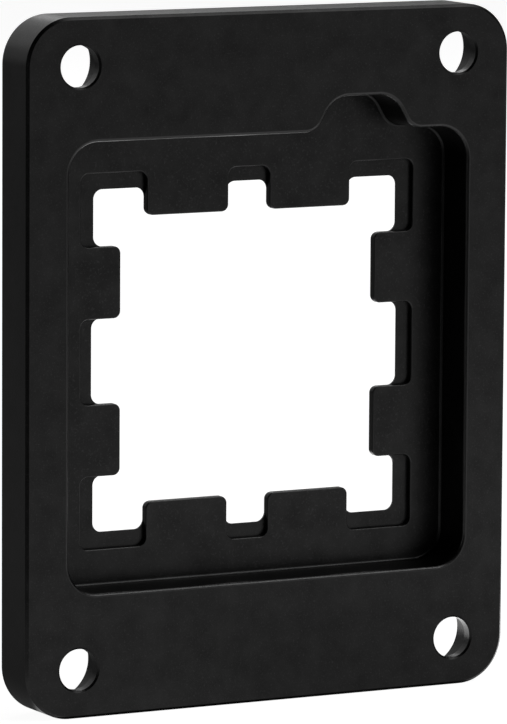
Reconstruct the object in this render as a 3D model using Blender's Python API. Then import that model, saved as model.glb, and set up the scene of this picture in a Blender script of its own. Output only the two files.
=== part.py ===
"""Processor retention frame: one plate milled from black anodised aluminium.

The plate stands upright on its short lower edge, centred over the origin, with its pocket side
facing -Y. The pocket takes the socket body, and the window in its floor clears the processor's
lid. Eight tabs reach into the window and press on the processor's carrier.

The outlines are drawn with X across the plate, Y up it and Z out of the pocket side, with Z = 0
halfway through the thickness. The finished plate is then stood up.
"""

from math import cos, pi, radians, sin, tan

import bmesh
import bpy
from mathutils import Vector

MM = 0.001

# Window, measured between facing tab tips.
WINDOW_SPAN = 29.6 * MM

# Notches beside the tabs. The middle gaps are between the two tabs of a side.
CORNER_NOTCH_DEPTH = 2.85 * MM
CORNER_NOTCH_WIDTH = 3.0 * MM
MIDDLE_NOTCH_DEPTH = 3.05 * MM
END_TAB_GAP = 4.8 * MM
SIDE_TAB_GAP = 8.8 * MM
TAB_THICKNESS = 1.1 * MM
TAB_TIP_RADIUS = 0.75 * MM
NOTCH_RADIUS = 1.0 * MM

# Shallow step in the pocket floor, this much wider than the notches.
STEP_MARGIN = 1.5 * MM
STEP_DEPTH = 0.6 * MM
STEP_RADIUS = 0.9 * MM

# Pocket for the socket body, with a bay in its upper wall.
POCKET_LEDGE = 3.7 * MM
POCKET_CORNER_RADIUS = 3.3 * MM
FLOOR_FILLET = 0.3 * MM
RIM_CHAMFER = 0.35 * MM
BAY_OFFSET = 10.8 * MM
BAY_TOP_WIDTH = 7.0 * MM
BAY_RISE = 3.6 * MM
BAY_SIDE_ANGLE = radians(60)
BAY_TOP_RADIUS = 3.0 * MM
BAY_FOOT_RADIUS = 2.2 * MM

# Plate, with a rail on every side of the pocket.
SIDE_RAIL = 4.8 * MM
END_RAIL = 12.7 * MM
PLATE_THICKNESS = 6.0 * MM
PLATE_CORNER_RADIUS = 5.0 * MM
EDGE_CHAMFER = 0.3 * MM

# Screw holes, placed from the plate's edges. The head recess is on the side away from the pocket.
SCREW_INSET_SIDE = 6.0 * MM
SCREW_INSET_END = 5.0 * MM
BORE_DIAMETER = 4.3 * MM
HEAD_RECESS_DIAMETER = 7.8 * MM
HEAD_LAND = 1.2 * MM
HOLE_EDGE_BREAK = 0.2 * MM

# How far a cutter runs past the face that it opens.
CUTTER_OVERRUN = 1.0 * MM

# Facets.
ARC_STEP = radians(10)
HOLE_SIDES = 40
WELD_DISTANCE = 0.001 * MM
SMOOTH_ANGLE = radians(30)
FILLET_SEGMENTS = 2

STEP_SPAN = WINDOW_SPAN + 2 * (MIDDLE_NOTCH_DEPTH + STEP_MARGIN)
POCKET_SPAN = STEP_SPAN + 2 * POCKET_LEDGE
PLATE_WIDTH = POCKET_SPAN + 2 * SIDE_RAIL
PLATE_HEIGHT = POCKET_SPAN + 2 * END_RAIL
FACE = PLATE_THICKNESS / 2
BACK = -PLATE_THICKNESS / 2
POCKET_FLOOR = BACK + TAB_THICKNESS
STEP_FLOOR = POCKET_FLOOR - STEP_DEPTH


def clear_scene():
    for item in list(bpy.data.objects):
        bpy.data.objects.remove(item, do_unlink=True)


def new_collection(name):
    collection = bpy.data.collections.new(name)
    bpy.context.scene.collection.children.link(collection)
    return collection


def anodised_black():
    material = bpy.data.materials.new("black_anodised_aluminium")
    material.use_nodes = True
    shader = material.node_tree.nodes["Principled BSDF"]
    shader.inputs["Base Color"].default_value = (0.013, 0.013, 0.014, 1.0)
    shader.inputs["Metallic"].default_value = 0.5
    shader.inputs["Roughness"].default_value = 0.5
    return material


def rounded(corners):
    """Returns an outline's points, with each (x, y, radius) corner turned into an arc."""
    points = []
    for index, (x, y, radius) in enumerate(corners):
        corner = Vector((x, y))
        before = Vector(corners[index - 1][:2])
        after = Vector(corners[(index + 1) % len(corners)][:2])
        inward = (before - corner).normalized()
        outward = (after - corner).normalized()
        opening = inward.angle(outward)
        turn = pi - opening
        centre = corner + (inward + outward).normalized() * (radius / sin(opening / 2))
        start = corner + inward * (radius / tan(opening / 2)) - centre
        side = 1 if inward.cross(outward) < 0 else -1
        count = max(2, round(turn / ARC_STEP))
        for step in range(count + 1):
            angle = side * turn * step / count
            swung = Vector((start.x * cos(angle) - start.y * sin(angle),
                            start.x * sin(angle) + start.y * cos(angle)))
            points.append(centre + swung)
    return points


def rectangle(width, height, radius):
    return rounded([(sx * width / 2, sy * height / 2, radius)
                    for sx, sy in ((1, -1), (1, 1), (-1, 1), (-1, -1))])


def pocket_outline():
    """The pocket's wall, with the bay in its upper side."""
    right = POCKET_SPAN / 2
    top = POCKET_SPAN / 2
    bay_half = BAY_TOP_WIDTH / 2
    foot_half = bay_half + BAY_RISE / tan(BAY_SIDE_ANGLE)
    return rounded([
        (right, -top, POCKET_CORNER_RADIUS),
        (right, top, POCKET_CORNER_RADIUS),
        (BAY_OFFSET + foot_half, top, BAY_FOOT_RADIUS),
        (BAY_OFFSET + bay_half, top + BAY_RISE, BAY_TOP_RADIUS),
        (BAY_OFFSET - bay_half, top + BAY_RISE, BAY_TOP_RADIUS),
        (BAY_OFFSET - foot_half, top, BAY_FOOT_RADIUS),
        (-right, top, POCKET_CORNER_RADIUS),
        (-right, -top, POCKET_CORNER_RADIUS),
    ])


def notched_outline(corner_reach, middle_reach, notch_radius):
    """A square opening with two tabs on each side, and notches between them and at the corners.

    The reaches say how far the corner and the middle notches lie from the window's centre.
    """
    tip = WINDOW_SPAN / 2
    end_near = END_TAB_GAP / 2
    side_near = SIDE_TAB_GAP / 2
    far = tip - CORNER_NOTCH_WIDTH
    quarter = [
        (middle_reach, side_near, notch_radius),
        (tip, side_near, TAB_TIP_RADIUS),
        (tip, far, TAB_TIP_RADIUS),
        (corner_reach, far, notch_radius),
        (corner_reach, corner_reach, notch_radius),
        (far, corner_reach, notch_radius),
        (far, tip, TAB_TIP_RADIUS),
        (end_near, tip, TAB_TIP_RADIUS),
        (end_near, middle_reach, notch_radius),
    ]
    corners = []
    for sx, sy in ((1, 1), (-1, 1), (-1, -1), (1, -1)):
        walk = quarter if sx * sy > 0 else reversed(quarter)
        corners += [(sx * x, sy * y, radius) for x, y, radius in walk]
    return rounded(corners)


def slab(name, outline, low, high, collection):
    """A solid of the outline, from low to high."""
    curve = bpy.data.curves.new(name, "CURVE")
    curve.dimensions = "2D"
    curve.fill_mode = "BOTH"
    curve.extrude = (high - low) / 2
    spline = curve.splines.new("POLY")
    spline.points.add(len(outline) - 1)
    for point, place in zip(spline.points, outline):
        point.co = (place.x, place.y, 0.0, 1.0)
    spline.use_cyclic_u = True
    drawn = bpy.data.objects.new(name, curve)
    drawn.location.z = (low + high) / 2
    collection.objects.link(drawn)
    mesh = evaluated_mesh(drawn)
    place = drawn.matrix_world.copy()
    bpy.data.objects.remove(drawn, do_unlink=True)
    close_caps(mesh)
    solid = bpy.data.objects.new(name, mesh)
    solid.matrix_world = place
    collection.objects.link(solid)
    return solid


def evaluated_mesh(item):
    bpy.context.view_layer.update()
    return bpy.data.meshes.new_from_object(
        item.evaluated_get(bpy.context.evaluated_depsgraph_get())
    )


def close_caps(mesh):
    """Welds the two caps to the wall, and makes each of them one face."""
    work = bmesh.new()
    work.from_mesh(mesh)
    bmesh.ops.remove_doubles(work, verts=work.verts, dist=WELD_DISTANCE)
    for end in (min(vert.co.z for vert in work.verts), max(vert.co.z for vert in work.verts)):
        cap = [face for face in work.faces if all(at_level(vert, end) for vert in face.verts)]
        bmesh.ops.dissolve_faces(work, faces=cap)
    bmesh.ops.recalc_face_normals(work, faces=work.faces)
    work.to_mesh(mesh)
    work.free()


def at_level(vert, level):
    return abs(vert.co.z - level) < WELD_DISTANCE


def drill(name, place, low, high, diameter, collection):
    """A round cutter along Z at place, from low to high."""
    bpy.ops.mesh.primitive_cylinder_add(
        vertices=HOLE_SIDES,
        radius=diameter / 2,
        depth=high - low,
        location=(place.x, place.y, (low + high) / 2),
    )
    solid = bpy.context.object
    solid.name = name
    for owner in list(solid.users_collection):
        owner.objects.unlink(solid)
    collection.objects.link(solid)
    return solid


def screw_places():
    across = PLATE_WIDTH / 2 - SCREW_INSET_SIDE
    up = PLATE_HEIGHT / 2 - SCREW_INSET_END
    return [Vector((sx * across, sy * up)) for sx, sy in ((-1, 1), (1, 1), (-1, -1), (1, -1))]


def round_foot(cutter, radius):
    """Rounds a cutter's lower rim, which leaves a fillet round the floor that it cuts."""
    work = bmesh.new()
    work.from_mesh(cutter.data)
    foot = min(vert.co.z for vert in work.verts)
    rim = [edge for edge in work.edges if all(at_level(vert, foot) for vert in edge.verts)]
    bmesh.ops.bevel(work, geom=rim, offset=radius, offset_type="OFFSET", segments=FILLET_SEGMENTS,
                    profile=0.5, affect="EDGES")
    work.to_mesh(cutter.data)
    work.free()
    return cutter


def floor_cutters(collection):
    """The pocket, the step in its floor, and the window."""
    above = FACE + CUTTER_OVERRUN
    below = BACK - CUTTER_OVERRUN
    tip = WINDOW_SPAN / 2
    step_outline = notched_outline(STEP_SPAN / 2, STEP_SPAN / 2, STEP_RADIUS)
    window_outline = notched_outline(tip + CORNER_NOTCH_DEPTH, tip + MIDDLE_NOTCH_DEPTH, NOTCH_RADIUS)
    pocket = slab("pocket_cutter", pocket_outline(), POCKET_FLOOR, above, collection)
    return [
        round_foot(pocket, FLOOR_FILLET),
        slab("step_cutter", step_outline, STEP_FLOOR, above, collection),
        slab("window_cutter", window_outline, below, STEP_FLOOR, collection),
    ]


def screw_cutters(collection):
    """A bore and a head recess for each screw."""
    above = FACE + CUTTER_OVERRUN
    below = BACK - CUTTER_OVERRUN
    head_floor = FACE - HEAD_LAND
    cutters = []
    for index, place in enumerate(screw_places(), start=1):
        cutters += [
            drill(f"bore_cutter_{index}", place, below, above, BORE_DIAMETER, collection),
            drill(f"head_cutter_{index}", place, below, head_floor, HEAD_RECESS_DIAMETER, collection),
        ]
    return cutters


def cut_away(plate, cutters):
    """Takes every cutter out of the plate, and leaves the cutters as guides."""
    for cutter in cutters:
        cutter.hide_render = True
        cutter.display_type = "WIRE"
        boolean = plate.modifiers.new(cutter.name, "BOOLEAN")
        boolean.operation = "DIFFERENCE"
        boolean.solver = "EXACT"
        boolean.object = cutter
    solid = evaluated_mesh(plate)
    plate.modifiers.clear()
    plate.data = solid


def edge_ring(edge):
    """Says which rim of the plate an edge belongs to: a screw hole's, the pocket's or the outer one."""
    middle = (edge.verts[0].co.xy + edge.verts[1].co.xy) / 2
    if any((middle - place).length < HEAD_RECESS_DIAMETER / 2 + WELD_DISTANCE for place in screw_places()):
        return "hole"
    if abs(middle.x) < PLATE_WIDTH / 2 - EDGE_CHAMFER and abs(middle.y) < PLATE_HEIGHT / 2 - EDGE_CHAMFER:
        reach = POCKET_SPAN / 2 + WELD_DISTANCE
        inside = abs(middle.x) < reach and abs(middle.y) < reach + BAY_RISE
        return "pocket" if inside else "outer"
    return "outer"


def chamfer_rims(mesh):
    """Breaks every sharp edge that lies in the plate's two faces."""
    work = bmesh.new()
    work.from_mesh(mesh)
    bmesh.ops.remove_doubles(work, verts=work.verts, dist=WELD_DISTANCE)
    for ring, width in (("outer", EDGE_CHAMFER), ("pocket", RIM_CHAMFER), ("hole", HOLE_EDGE_BREAK)):
        rim = [edge for edge in work.edges
               if any(all(at_level(vert, level) for vert in edge.verts) for level in (FACE, BACK))
               and edge.calc_face_angle() > SMOOTH_ANGLE
               and edge_ring(edge) == ring]
        bmesh.ops.bevel(work, geom=rim, offset=width, offset_type="OFFSET", segments=1,
                        profile=0.5, affect="EDGES")
    work.to_mesh(mesh)
    work.free()


def stand_up(objects):
    """Turns everything from lying to standing, with the lower edge on Z = 0."""
    stand = bpy.data.objects.new("stand", None)
    bpy.context.scene.collection.objects.link(stand)
    for item in objects:
        item.parent = stand
    stand.rotation_euler = (pi / 2, 0.0, 0.0)
    stand.location = (0.0, 0.0, PLATE_HEIGHT / 2)


def main():
    clear_scene()
    parts = new_collection("processor retention frame")
    guides = new_collection("cutters")
    outline = rectangle(PLATE_WIDTH, PLATE_HEIGHT, PLATE_CORNER_RADIUS)
    plate = slab("retention_frame", outline, BACK, FACE, parts)
    cutters = floor_cutters(guides) + screw_cutters(guides)
    cut_away(plate, cutters)
    chamfer_rims(plate.data)
    plate.data.materials.append(anodised_black())
    plate.data.shade_smooth()
    plate.data.set_sharp_from_angle(angle=SMOOTH_ANGLE)
    stand_up([plate] + cutters)
    bpy.context.view_layer.update()


main()
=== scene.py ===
from math import cos, pi, radians, sin, tan

import bmesh
import bpy
from mathutils import Matrix, Vector


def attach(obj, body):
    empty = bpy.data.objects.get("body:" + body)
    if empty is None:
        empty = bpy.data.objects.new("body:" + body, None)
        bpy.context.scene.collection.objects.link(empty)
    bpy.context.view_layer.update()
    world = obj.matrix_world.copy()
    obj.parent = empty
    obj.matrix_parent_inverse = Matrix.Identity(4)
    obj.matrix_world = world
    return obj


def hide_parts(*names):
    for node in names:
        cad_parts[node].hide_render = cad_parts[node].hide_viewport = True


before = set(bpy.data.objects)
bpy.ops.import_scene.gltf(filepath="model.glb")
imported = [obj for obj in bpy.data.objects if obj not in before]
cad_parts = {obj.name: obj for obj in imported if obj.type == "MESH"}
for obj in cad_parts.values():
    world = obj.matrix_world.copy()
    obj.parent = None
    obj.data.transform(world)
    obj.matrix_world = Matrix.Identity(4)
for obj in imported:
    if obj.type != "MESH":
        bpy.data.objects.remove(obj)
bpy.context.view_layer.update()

MM = 0.001

# Window, measured between facing tab tips, and the notches beside its tabs.
WINDOW_SPAN = 29.6 * MM
CORNER_NOTCH_DEPTH = 2.85 * MM
CORNER_NOTCH_WIDTH = 3.0 * MM
MIDDLE_NOTCH_DEPTH = 3.05 * MM
END_TAB_GAP = 4.8 * MM
SIDE_TAB_GAP = 8.8 * MM
TAB_THICKNESS = 1.1 * MM
TAB_TIP_RADIUS = 0.75 * MM
NOTCH_RADIUS = 1.0 * MM

# Shallow step in the pocket floor.
STEP_MARGIN = 1.5 * MM
STEP_DEPTH = 0.6 * MM
STEP_RADIUS = 0.9 * MM

# Pocket, with a bay in its upper wall.
POCKET_LEDGE = 3.7 * MM
POCKET_CORNER_RADIUS = 3.3 * MM
FLOOR_FILLET = 0.3 * MM
BAY_OFFSET = 10.8 * MM
BAY_TOP_WIDTH = 7.0 * MM
BAY_RISE = 3.6 * MM
BAY_SIDE_ANGLE = radians(60)
BAY_TOP_RADIUS = 3.0 * MM
BAY_FOOT_RADIUS = 2.2 * MM

# Plate, with a rail on every side of the pocket.
SIDE_RAIL = 4.8 * MM
END_RAIL = 12.7 * MM
PLATE_THICKNESS = 6.0 * MM
PLATE_CORNER_RADIUS = 5.0 * MM

# Screw holes, placed from the plate's edges.
SCREW_INSET_SIDE = 6.0 * MM
SCREW_INSET_END = 5.0 * MM
BORE_DIAMETER = 4.3 * MM
HEAD_RECESS_DIAMETER = 7.8 * MM
HEAD_LAND = 1.2 * MM

# Edges. The plate's outline and the screw holes are chamfered. The pocket's rim, the window's rim
# on the hidden side, and the edges that the step leaves in the floor are rounded.
EDGE_CHAMFER = 0.3 * MM
HOLE_EDGE_BREAK = 0.2 * MM
RIM_ROUND = 0.35 * MM
STEP_EDGE_ROUND = 0.12 * MM

# Sizes that follow from those above. The levels are counted from the middle of the lying plate.
STEP_SPAN = WINDOW_SPAN + 2 * (MIDDLE_NOTCH_DEPTH + STEP_MARGIN)
POCKET_SPAN = STEP_SPAN + 2 * POCKET_LEDGE
PLATE_WIDTH = POCKET_SPAN + 2 * SIDE_RAIL
PLATE_HEIGHT = POCKET_SPAN + 2 * END_RAIL
FACE = PLATE_THICKNESS / 2
BACK = -PLATE_THICKNESS / 2
POCKET_FLOOR = BACK + TAB_THICKNESS
STEP_FLOOR = POCKET_FLOOR - STEP_DEPTH

# How finely the curves are drawn.
ARC_STEP = radians(3)
FEWEST_ARC_STEPS = 2
HOLE_SIDES = 96
FILLET_SEGMENTS = 4
CHAMFER_SEGMENTS = 1
ROUND_SEGMENTS = 3
CIRCULAR_PROFILE = 0.5
SMOOTH_ANGLE = radians(35)

# Allowances for cutting and for telling two points apart.
CUTTER_OVERRUN = 1.0 * MM
WELD_DISTANCE = 0.0005 * MM

# Black anodising, with its colours in sRGB hex. The lightest two are painted light: a painted
# highlight on a few grains, and a painted highlight on the rounded rims. The attribute marks the
# faces of the rims that get the painted highlight.
DARKER_DYE = "272727"
LIGHTER_DYE = "313131"
PAINTED_GRAIN_HIGHLIGHT = "3e3e3e"
PAINTED_RIM_HIGHLIGHT = "3c3c3c"
GRAIN_SIZE = 0.2 * MM
GRAIN_DEPTH = 0.02 * MM
CLOUD_SIZE = 3 * MM
RIM_HIGHLIGHT_ATTRIBUTE = "painted_rim_highlight"

# Paper floor and backdrop, with the floor's span in metres.
WHITE = "ffffff"
DULL_PAPER = "959595"
PAPER_GLOW = 0.95
BACKDROP_GLOW = 1.1
FLOOR_SPAN = 6.0

# Soft boxes round the part: name, bearing and rise in degrees, then distance, width and height in
# metres, and radiance. The bearing is counted from the front, turning to the right.
SOFT_BOXES = (
    ("strip_behind", 180, 28, 0.7, 0.7, 0.25, 0.8),
    ("box_behind_on_the_right", 150, 35, 0.7, 0.35, 0.3, 1.85),
    ("box_in_front_on_the_right", 28, 35, 0.7, 0.4, 0.35, 0.6),
    ("small_box_high_in_front", 40, 44, 0.7, 0.25, 0.25, 4.0),
    ("low_strip_in_front", 28, 4, 0.5, 0.3, 0.1, 0.76),
    ("box_behind_on_the_left", -150, 15, 0.6, 0.3, 0.2, 0.43),
    ("low_strip_behind_on_the_left", -150, 3, 0.6, 0.3, 0.12, 0.16),
    ("box_on_the_left", -90, 10, 0.7, 0.35, 0.3, 0.92),
    ("box_overhead_on_the_right", 74, 61, 0.6, 0.3, 0.3, 2.3),
)

# Glowing cards on the floor: name, then where the left, right, front and back edges lie from the
# part's foot in metres, and radiance.
CARDS = (
    ("card_at_the_left_foot", -0.06, 0.0, -0.06, 0.0, 0.65),
    ("card_at_the_right_foot", 0.0, 0.06, -0.06, 0.0, 0.5),
    ("card_in_front", 0.0, 0.15, -0.15, -0.06, 0.9),
    ("card_far_in_front", 0.0, 0.6, -0.6, -0.15, 0.42),
    ("card_on_the_right", 0.06, 0.15, -0.06, 0.0, 1.35),
    ("card_behind", 0.0, 0.06, 0.0, 0.06, 2.45),
    ("card_behind_on_the_left", -0.3, 0.0, 0.0, 0.3, 0.065),
)
CARD_LIFT = 0.3 * MM

# Camera. Its angles are in radians. The three lengths after them say where the middle of the pocket
# side lies from the lens. The lens and the sensor are in millimetres, and the farthest distance
# that the camera sees is in metres.
CAMERA_TURN = 0.4898
CAMERA_DIP = 0.1317
CAMERA_ROLL = 0.0063
FACE_RIGHT_OF_VIEW = 1.764 * MM
FACE_ABOVE_VIEW = 0.373 * MM
FACE_DISTANCE = 648.96 * MM
LENS = 314.4
SENSOR = 36.0
FARTHEST_SEEN = 10.0


# Plate outlines, drawn with X across the plate and Y up it

def rounded(corners):
    """An outline's points, with each (x, y, radius) corner turned into an arc."""
    points = []
    for index, (x, y, radius) in enumerate(corners):
        corner = Vector((x, y))
        before = Vector(corners[index - 1][:2])
        after = Vector(corners[(index + 1) % len(corners)][:2])
        inward = (before - corner).normalized()
        outward = (after - corner).normalized()
        opening = inward.angle(outward)
        turn = pi - opening
        centre = corner + (inward + outward).normalized() * (radius / sin(opening / 2))
        start = corner + inward * (radius / tan(opening / 2)) - centre
        side = 1 if inward.cross(outward) < 0 else -1
        steps = max(FEWEST_ARC_STEPS, round(turn / ARC_STEP))
        for step in range(steps + 1):
            angle = side * turn * step / steps
            swung = Vector((start.x * cos(angle) - start.y * sin(angle),
                            start.x * sin(angle) + start.y * cos(angle)))
            points.append(centre + swung)
    return points


def rectangle(width, height, radius):
    """A rectangle's points, with its corners rounded."""
    return rounded([(right * width / 2, up * height / 2, radius)
                    for right, up in ((1, -1), (1, 1), (-1, 1), (-1, -1))])


def pocket_outline():
    """The pocket's wall, with the bay in its upper side."""
    right = POCKET_SPAN / 2
    top = POCKET_SPAN / 2
    bay_half = BAY_TOP_WIDTH / 2
    foot_half = bay_half + BAY_RISE / tan(BAY_SIDE_ANGLE)
    return rounded([
        (right, -top, POCKET_CORNER_RADIUS),
        (right, top, POCKET_CORNER_RADIUS),
        (BAY_OFFSET + foot_half, top, BAY_FOOT_RADIUS),
        (BAY_OFFSET + bay_half, top + BAY_RISE, BAY_TOP_RADIUS),
        (BAY_OFFSET - bay_half, top + BAY_RISE, BAY_TOP_RADIUS),
        (BAY_OFFSET - foot_half, top, BAY_FOOT_RADIUS),
        (-right, top, POCKET_CORNER_RADIUS),
        (-right, -top, POCKET_CORNER_RADIUS),
    ])


def notched_outline(corner_reach, middle_reach, notch_radius):
    """Two tabs on each side, with notches between them and at the corners."""
    tip = WINDOW_SPAN / 2
    end_near = END_TAB_GAP / 2
    side_near = SIDE_TAB_GAP / 2
    far = tip - CORNER_NOTCH_WIDTH
    upper_right = [
        (middle_reach, side_near, notch_radius),
        (tip, side_near, TAB_TIP_RADIUS),
        (tip, far, TAB_TIP_RADIUS),
        (corner_reach, far, notch_radius),
        (corner_reach, corner_reach, notch_radius),
        (far, corner_reach, notch_radius),
        (far, tip, TAB_TIP_RADIUS),
        (end_near, tip, TAB_TIP_RADIUS),
        (end_near, middle_reach, notch_radius),
    ]
    # The other quarters mirror the first. One that is mirrored once is walked backwards.
    corners = []
    for right, up in ((1, 1), (-1, 1), (-1, -1), (1, -1)):
        walk = upper_right if right * up > 0 else reversed(upper_right)
        corners += [(right * x, up * y, radius) for x, y, radius in walk]
    return rounded(corners)


# Solids

def put_in_scene(name, data):
    """An object of a mesh, a lamp or a camera."""
    item = bpy.data.objects.new(name, data)
    bpy.context.scene.collection.objects.link(item)
    return item


def baked(item):
    """The object's mesh with its modifiers applied."""
    bpy.context.view_layer.update()
    depsgraph = bpy.context.evaluated_depsgraph_get()
    return bpy.data.meshes.new_from_object(item.evaluated_get(depsgraph))


def lies_at(edge_or_face, level):
    """Whether an edge or a face lies flat at that level."""
    return all(abs(vert.co.z - level) < WELD_DISTANCE for vert in edge_or_face.verts)


def cut_band(work, edges, width, segments):
    """Bevels the edges, flat with one segment and round with more, and gives the new faces."""
    return bmesh.ops.bevel(work, geom=edges, offset=width, offset_type="OFFSET",
                           segments=segments, profile=CIRCULAR_PROFILE, affect="EDGES")["faces"]


def slab(name, outline, low, high, foot_radius=0.0):
    """A solid of the outline, from low to high. If a radius is given, it rounds the lower rim."""
    work = bmesh.new()
    foot = work.faces.new([work.verts.new((point.x, point.y, low)) for point in outline])
    for part in bmesh.ops.extrude_face_region(work, geom=[foot])["geom"]:
        if isinstance(part, bmesh.types.BMVert):
            part.co.z = high
    bmesh.ops.recalc_face_normals(work, faces=work.faces)
    if foot_radius:
        rim = [edge for edge in work.edges if lies_at(edge, low)]
        cut_band(work, rim, foot_radius, FILLET_SEGMENTS)
    mesh = bpy.data.meshes.new(name)
    work.to_mesh(mesh)
    work.free()
    return put_in_scene(name, mesh)


# Node trees

def add_node(tree, kind, inputs=None, **settings):
    """Adds a node, with its settings and with a value or a link for each named input."""
    node = tree.nodes.new(kind)
    for name, value in settings.items():
        setattr(node, name, value)
    for name, value in (inputs or {}).items():
        if isinstance(value, bpy.types.NodeSocket):
            tree.links.new(value, node.inputs[name])
        else:
            node.inputs[name].default_value = value
    return node


def reckoned(tree, operation, first, second):
    """What an operation on two values gives, in a node tree."""
    return add_node(tree, "ShaderNodeMath", {0: first, 1: second}, operation=operation).outputs[0]


def bare_tree(owner):
    """The emptied node tree of a new material or world."""
    owner.use_nodes = True
    owner.node_tree.nodes.clear()
    return owner.node_tree


# Screw holes: one drill, repeated at the plate's four corners

def drill_tree():
    """A node tree that stands one round drill at each corner of a rectangle."""
    tree = bpy.data.node_groups.new("drill_at_four_corners", "GeometryNodeTree")
    tree.is_modifier = True
    for name in ("Across", "Up", "Diameter", "Foot", "Height"):
        tree.interface.new_socket(name, in_out="INPUT", socket_type="NodeSocketFloat")
    tree.interface.new_socket("Finish", in_out="INPUT", socket_type="NodeSocketMaterial")
    tree.interface.new_socket("Geometry", in_out="OUTPUT", socket_type="NodeSocketGeometry")
    given = add_node(tree, "NodeGroupInput").outputs
    places = add_node(tree, "GeometryNodeMeshGrid", {
        "Size X": given["Across"], "Size Y": given["Up"], "Vertices X": 2, "Vertices Y": 2})
    radius = reckoned(tree, "MULTIPLY", given["Diameter"], 0.5)
    drill = add_node(tree, "GeometryNodeMeshCylinder", {
        "Vertices": HOLE_SIDES, "Radius": radius, "Depth": given["Height"]})
    half_height = reckoned(tree, "MULTIPLY", given["Height"], 0.5)
    middle = reckoned(tree, "ADD", given["Foot"], half_height)
    lift = add_node(tree, "ShaderNodeCombineXYZ", {"Z": middle})
    raised = add_node(tree, "GeometryNodeTransform", {
        "Geometry": drill.outputs["Mesh"], "Translation": lift.outputs[0]})
    placed = add_node(tree, "GeometryNodeInstanceOnPoints", {
        "Points": places.outputs["Mesh"], "Instance": raised.outputs[0]})
    solid = add_node(tree, "GeometryNodeRealizeInstances", {"Geometry": placed.outputs[0]})
    finished = add_node(tree, "GeometryNodeSetMaterial", {
        "Geometry": solid.outputs[0], "Material": given["Finish"]})
    add_node(tree, "NodeGroupOutput", {"Geometry": finished.outputs[0]})
    return tree


def drills(name, tree, diameter, foot, top, finish):
    """Four drills from foot to top, where the plate's screws go."""
    holder = put_in_scene(name + "_holder", bpy.data.meshes.new(name + "_holder"))
    modifier = holder.modifiers.new("drills", "NODES")
    modifier.node_group = tree
    sizes = {
        "Across": PLATE_WIDTH - 2 * SCREW_INSET_SIDE,
        "Up": PLATE_HEIGHT - 2 * SCREW_INSET_END,
        "Diameter": diameter,
        "Foot": foot,
        "Height": top - foot,
        "Finish": finish,
    }
    for socket in tree.interface.items_tree:
        if socket.in_out == "INPUT":
            modifier[socket.identifier] = sizes[socket.name]
    mesh = baked(holder)
    bpy.data.objects.remove(holder, do_unlink=True)
    return put_in_scene(name, mesh)


# The plate

def cut_away(plate, cutters):
    """Takes the cutters out of the plate, one after another."""
    for cutter in cutters:
        boolean = plate.modifiers.new(cutter.name, "BOOLEAN")
        boolean.operation = "DIFFERENCE"
        boolean.solver = "EXACT"
        boolean.object = cutter
        plate.data = baked(plate)
        plate.modifiers.clear()
        bpy.data.objects.remove(cutter, do_unlink=True)


def rim_of(edge):
    """Names the rim that an edge in one of the plate's two faces belongs to. The window's rim goes
    with the pocket's."""
    middle = (edge.verts[0].co.xy + edge.verts[1].co.xy) / 2
    across = PLATE_WIDTH / 2 - SCREW_INSET_SIDE
    up = PLATE_HEIGHT / 2 - SCREW_INSET_END
    screw = Vector((across if middle.x > 0 else -across, up if middle.y > 0 else -up))
    if (middle - screw).length < HEAD_RECESS_DIAMETER / 2 + WELD_DISTANCE:
        return "hole"
    reach = POCKET_SPAN / 2 + WELD_DISTANCE
    return "pocket" if abs(middle.x) < reach and abs(middle.y) < reach + BAY_RISE else "outer"


def refill_flat(work, level):
    """Lays a flat part of the plate anew, as large faces that reach from rim to rim."""
    flat = {face for face in work.faces if lies_at(face, level)}
    rim = [edge for edge in work.edges if len(flat.intersection(edge.link_faces)) == 1]
    side = sum((face.normal * face.calc_area() for face in flat), Vector())
    bmesh.ops.delete(work, geom=list(flat), context="FACES")
    bmesh.ops.triangle_fill(work, edges=rim, use_beauty=True, use_dissolve=True,
                            normal=side.normalized())


def break_edges(mesh):
    """Chamfers or rounds the rims in the plate's two faces and the edges of the step in the floor,
    and marks the rounded ones to get a painted highlight."""
    work = bmesh.new()
    work.from_mesh(mesh)
    # A mask of the faces that get a painted highlight.
    rim_highlight_mask = work.faces.layers.float.new(RIM_HIGHLIGHT_ATTRIBUTE)
    bmesh.ops.remove_doubles(work, verts=work.verts, dist=WELD_DISTANCE)
    sharp = [edge for edge in work.edges
             if edge.is_manifold and edge.calc_face_angle() > SMOOTH_ANGLE]
    rims = {"outer": [], "pocket": [], "hole": [], "step": []}
    for edge in sharp:
        if lies_at(edge, FACE) or lies_at(edge, BACK):
            rims[rim_of(edge)].append(edge)
        elif lies_at(edge, POCKET_FLOOR) and edge.calc_face_angle_signed() > 0:
            rims["step"].append(edge)
    for rim, width, segments in (("outer", EDGE_CHAMFER, CHAMFER_SEGMENTS),
                                 ("pocket", RIM_ROUND, ROUND_SEGMENTS),
                                 ("hole", HOLE_EDGE_BREAK, CHAMFER_SEGMENTS),
                                 ("step", STEP_EDGE_ROUND, ROUND_SEGMENTS)):
        band = cut_band(work, rims[rim], width, segments)
        # The rounded rims are marked for a painted highlight.
        if rim in ("pocket", "step"):
            for face in band:
                face[rim_highlight_mask] = 1.0
    for level in (FACE, BACK, POCKET_FLOOR, STEP_FLOOR):
        refill_flat(work, level)
    work.to_mesh(mesh)
    work.free()


def stand_up(mesh):
    """Turns the plate from lying to standing, with its lower edge on Z = 0."""
    mesh.transform(Matrix.Translation((0, 0, PLATE_HEIGHT / 2)) @ Matrix.Rotation(pi / 2, 4, "X"))


def shade(item):
    """Smooth curves, flat faces and crisp chamfers."""
    item.data.shade_smooth()
    item.data.set_sharp_from_angle(angle=SMOOTH_ANGLE)
    item.modifiers.new("weighted_normals", "WEIGHTED_NORMAL").keep_sharp = True
    item.data = baked(item)
    item.modifiers.clear()


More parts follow.
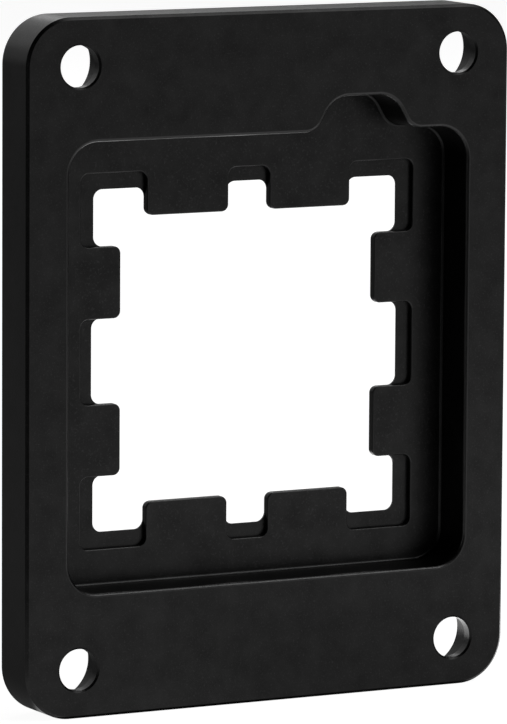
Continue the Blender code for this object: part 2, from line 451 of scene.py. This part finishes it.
def milled_plate(finish):
    """The whole frame: a slab with its pocket, step, window and screw holes cut away."""
    below = BACK - CUTTER_OVERRUN
    above = FACE + CUTTER_OVERRUN
    tip = WINDOW_SPAN / 2
    plan = rectangle(PLATE_WIDTH, PLATE_HEIGHT, PLATE_CORNER_RADIUS)
    step = notched_outline(STEP_SPAN / 2, STEP_SPAN / 2, STEP_RADIUS)
    window = notched_outline(tip + CORNER_NOTCH_DEPTH, tip + MIDDLE_NOTCH_DEPTH, NOTCH_RADIUS)
    tree = drill_tree()
    plate = slab("milled_plate", plan, BACK, FACE)
    cut_away(plate, [
        slab("pocket", pocket_outline(), POCKET_FLOOR, above, FLOOR_FILLET),
        slab("step", step, STEP_FLOOR, above),
        slab("window", window, below, STEP_FLOOR),
        drills("bores", tree, BORE_DIAMETER, below, above, finish),
        drills("head_recesses", tree, HEAD_RECESS_DIAMETER, below, FACE - HEAD_LAND, finish),
    ])
    break_edges(plate.data)
    stand_up(plate.data)
    plate.data.materials.clear()
    plate.data.materials.append(finish)
    shade(plate)
    return plate


# Materials

def linear(hex_colour):
    """An sRGB hex colour as the linear values that Blender works in."""
    channels = [int(hex_colour[at:at + 2], 16) / 255 for at in (0, 2, 4)]
    return [c / 12.92 if c <= 0.04045 else ((c + 0.055) / 1.055) ** 2.4 for c in channels] + [1.0]


def black_anodised_aluminium():
    """Bead-blasted and black anodised: a dull metal black. A fine blasted grain breaks up its
    reflections, a few of the grains get a painted highlight in a lighter grey, and the dye has
    taken a little unevenly. The rounded rims get a lighter grey as a painted highlight. The real
    grain is finer than drawn, but so fine a grain would look like plain paint."""
    material = bpy.data.materials.new("bead_blasted_black_anodised_aluminium")
    tree = bare_tree(material)
    place = add_node(tree, "ShaderNodeTexCoord").outputs["Object"]
    grain = add_node(tree, "ShaderNodeTexNoise", {
        "Vector": place, "Scale": 1 / GRAIN_SIZE, "Detail": 3.0, "Roughness": 0.6})
    cloud = add_node(tree, "ShaderNodeTexNoise", {
        "Vector": place, "Scale": 1 / CLOUD_SIZE, "Detail": 5.0, "Roughness": 0.65})
    uneven = add_node(tree, "ShaderNodeMapRange", {
        "Value": cloud.outputs["Fac"], "From Min": 0.3, "From Max": 0.7})
    dye = add_node(tree, "ShaderNodeMix", {
        "Factor": uneven.outputs[0], "A": linear(DARKER_DYE), "B": linear(LIGHTER_DYE)},
        data_type="RGBA")
    # Painted highlight: the highest grains get a lighter grey.
    painted_grain_highlight = add_node(tree, "ShaderNodeMapRange", {
        "Value": grain.outputs["Fac"], "From Min": 0.56, "From Max": 0.74})
    dye_and_painted_grain_highlight = add_node(tree, "ShaderNodeMix", {
        "Factor": painted_grain_highlight.outputs[0], "A": dye.outputs[2], "B": linear(PAINTED_GRAIN_HIGHLIGHT)},
        data_type="RGBA")
    # Painted highlight: the rounded rims get a lighter grey.
    rim_highlight_mask = add_node(tree, "ShaderNodeAttribute", attribute_name=RIM_HIGHLIGHT_ATTRIBUTE).outputs["Fac"]
    with_painted_rim_highlight = add_node(tree, "ShaderNodeMix", {
        "Factor": rim_highlight_mask, "A": dye_and_painted_grain_highlight.outputs[2], "B": linear(PAINTED_RIM_HIGHLIGHT)}, data_type="RGBA")
    dull = add_node(tree, "ShaderNodeMapRange", {
        "Value": grain.outputs["Fac"], "From Min": 0.3, "From Max": 0.7,
        "To Min": 0.3, "To Max": 0.4})
    blasted = add_node(tree, "ShaderNodeBump", {
        "Height": grain.outputs["Fac"], "Strength": 0.5, "Distance": GRAIN_DEPTH})
    shader = add_node(tree, "ShaderNodeBsdfPrincipled", {
        "Base Color": with_painted_rim_highlight.outputs[2], "Roughness": dull.outputs[0], "Metallic": 1.0,
        "Normal": blasted.outputs[0]})
    add_node(tree, "ShaderNodeOutputMaterial", {"Surface": shader.outputs[0]})
    return material


def white_paper():
    """Plain matt paper: it shows white, and lies in the part's reflections as a duller grey."""
    material = bpy.data.materials.new("white_paper_floor")
    tree = bare_tree(material)
    seen = add_node(tree, "ShaderNodeLightPath").outputs["Is Camera Ray"]
    paper = add_node(tree, "ShaderNodeBsdfDiffuse", {"Color": linear(DULL_PAPER)})
    glow = add_node(tree, "ShaderNodeEmission", {"Color": linear(WHITE), "Strength": PAPER_GLOW})
    lit = add_node(tree, "ShaderNodeAddShader", {0: paper.outputs[0], 1: glow.outputs[0]})
    both = add_node(tree, "ShaderNodeMixShader", {
        0: seen, 1: paper.outputs[0], 2: lit.outputs[0]})
    add_node(tree, "ShaderNodeOutputMaterial", {"Surface": both.outputs[0]})
    return material


# Studio

def floor(finish):
    """A wide square sheet at the part's foot."""
    half = FLOOR_SPAN / 2
    corners = [(-half, -half, 0), (half, -half, 0), (half, half, 0), (-half, half, 0)]
    mesh = bpy.data.meshes.new("floor")
    mesh.from_pydata(corners, [], [(0, 1, 2, 3)])
    mesh.materials.append(finish)
    return put_in_scene("floor", mesh)


def soft_box(name, middle, towards, width, height, radiance):
    """A flat lamp that the camera doesn't see, whose face has the given radiance."""
    lamp = bpy.data.lights.new(name, "AREA")
    lamp.shape = "RECTANGLE"
    lamp.size = width
    lamp.size_y = height
    lamp.energy = radiance * pi * width * height
    item = put_in_scene(name, lamp)
    item.location = middle
    item.rotation_euler = (towards - middle).to_track_quat("-Z", "Y").to_euler()
    item.visible_camera = False


def soft_box_round_part(name, bearing, rise, distance, width, height, radiance):
    """A soft box that is aimed at the middle of the part."""
    aim = Vector((0, 0, PLATE_HEIGHT / 2))
    turned = radians(bearing)
    raised = radians(rise)
    way = Vector((sin(turned) * cos(raised), -cos(turned) * cos(raised), sin(raised)))
    soft_box(name, aim + way * distance, aim, width, height, radiance)


def glowing_card(name, left, right, front, back, radiance):
    """A card on the floor that glows upwards, like a piece of a light table."""
    middle = Vector(((left + right) / 2, (front + back) / 2, CARD_LIFT))
    soft_box(name, middle, middle + Vector((0, 0, 1)), right - left, back - front, radiance)


def studio_lamps():
    """All the lamps, with the strengths that give the photograph's tones."""
    for row in SOFT_BOXES:
        soft_box_round_part(*row)
    for row in CARDS:
        glowing_card(*row)


def studio_world():
    """White to the eye, and a dark room in reflections."""
    world = bpy.data.worlds.new("studio")
    tree = bare_tree(world)
    seen = add_node(tree, "ShaderNodeLightPath").outputs["Is Camera Ray"]
    strength = reckoned(tree, "MULTIPLY", seen, BACKDROP_GLOW)
    backdrop = add_node(tree, "ShaderNodeBackground", {
        "Color": linear(WHITE), "Strength": strength})
    add_node(tree, "ShaderNodeOutputWorld", {"Surface": backdrop.outputs[0]})
    bpy.context.scene.world = world


def camera():
    """The photograph's view, through a long lens."""
    middle = Vector((0, -PLATE_THICKNESS / 2, PLATE_HEIGHT / 2))
    turn = (Matrix.Rotation(-CAMERA_TURN, 3, "Z") @ Matrix.Rotation(pi / 2 - CAMERA_DIP, 3, "X")
            @ Matrix.Rotation(CAMERA_ROLL, 3, "Z"))
    lens = bpy.data.cameras.new("camera")
    lens.lens = LENS
    lens.sensor_width = SENSOR
    lens.clip_end = FARTHEST_SEEN
    item = put_in_scene("camera", lens)
    item.rotation_euler = turn.to_euler()
    item.location = middle - turn @ Vector((FACE_RIGHT_OF_VIEW, FACE_ABOVE_VIEW, -FACE_DISTANCE))
    bpy.context.scene.camera = item


camera()
studio_world()
floor(white_paper())
studio_lamps()
bpy.context.scene.view_settings.view_transform = "Standard"

plate = milled_plate(black_anodised_aluminium())
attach(plate, "root")
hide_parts("retention_frame")
